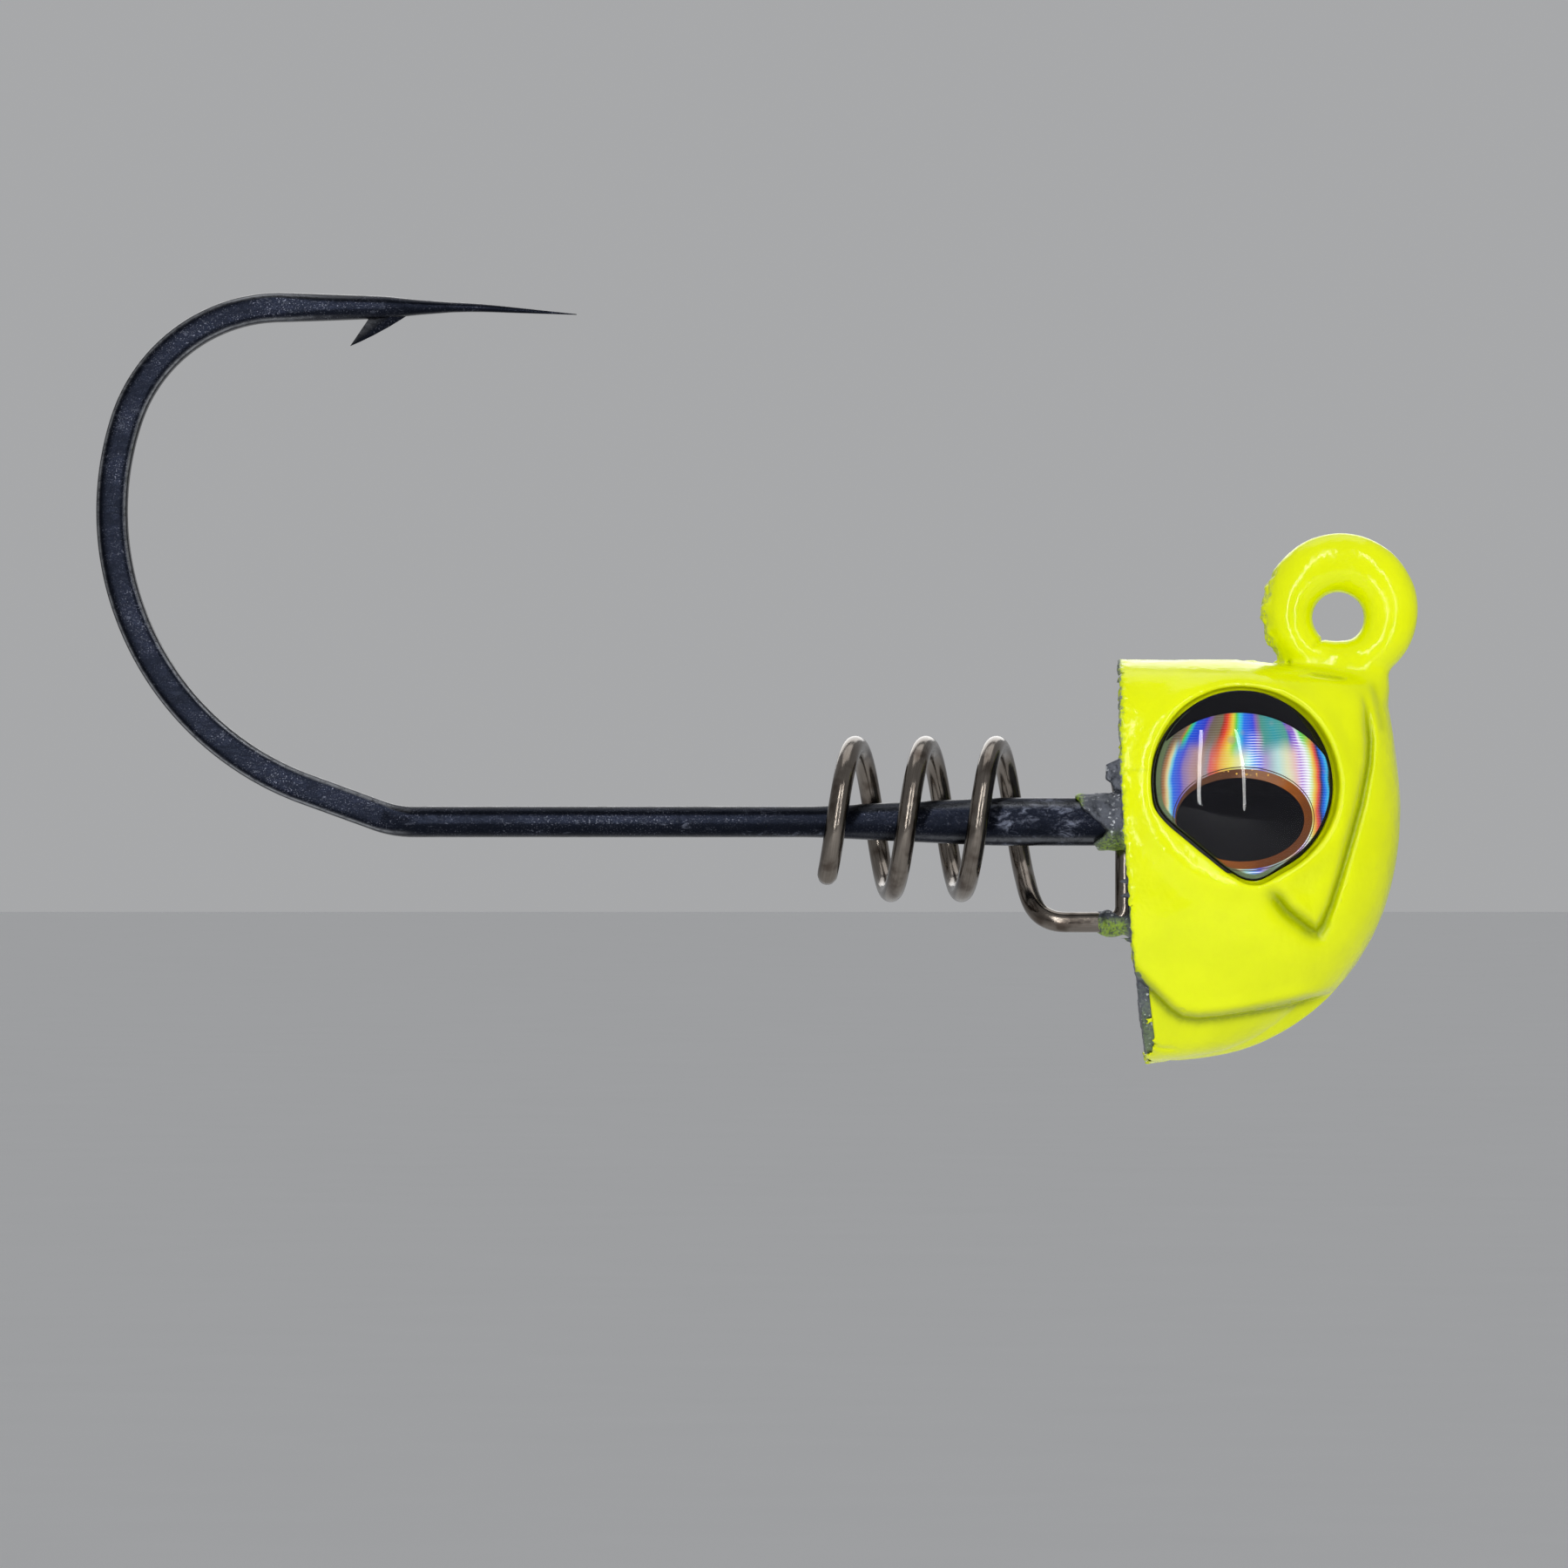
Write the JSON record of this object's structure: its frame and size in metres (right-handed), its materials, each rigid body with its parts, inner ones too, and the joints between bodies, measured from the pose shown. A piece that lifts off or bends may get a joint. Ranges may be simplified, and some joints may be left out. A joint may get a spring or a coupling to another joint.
{
  "type": "jig head",
  "caption": "Swimbait jig head: painted lead fish head on a long-shank hook, with a screw-in bait keeper, a domed eye on each side and a line tie on the crown.",
  "frame": {"origin": "centre of the line-tie hole in the coated ring on the head's crown", "axes": "+X to the nose, +Z to the crown and the hook's point, +Y along the line-tie hole to the fish's left"},
  "size_m": [0.0516, 0.0112, 0.0301],
  "materials": {
    "black_nickel": "black-nickel plate, satin, with pale speckle and wear on the forged edges",
    "keeper_wire": "drawn stainless wire with fine lengthwise lines",
    "raw_lead": "raw cast lead, rough and sparkling, dulled by oxide",
    "powder_coat": "glossy chartreuse powder coat with a slight orange peel",
    "eye_backing": "black adhesive foam",
    "eye_film": "printed holographic foil with rainbow bands, a copper ring and a black pupil",
    "eye_dome": "clear cast resin"
  },
  "bodies": {
    "root": {"hook": "black_nickel", "keeper_spring": "keeper_wire", "lead_head": "raw_lead", "head_coat": "powder_coat", "ring_coat": "powder_coat", "right_eye_pad": "eye_backing", "right_eye_film": "eye_film", "right_eye_lens": "eye_dome", "left_eye_pad": "eye_backing", "left_eye_film": "eye_film", "left_eye_lens": "eye_dome"}
  },
  "joints": []
}
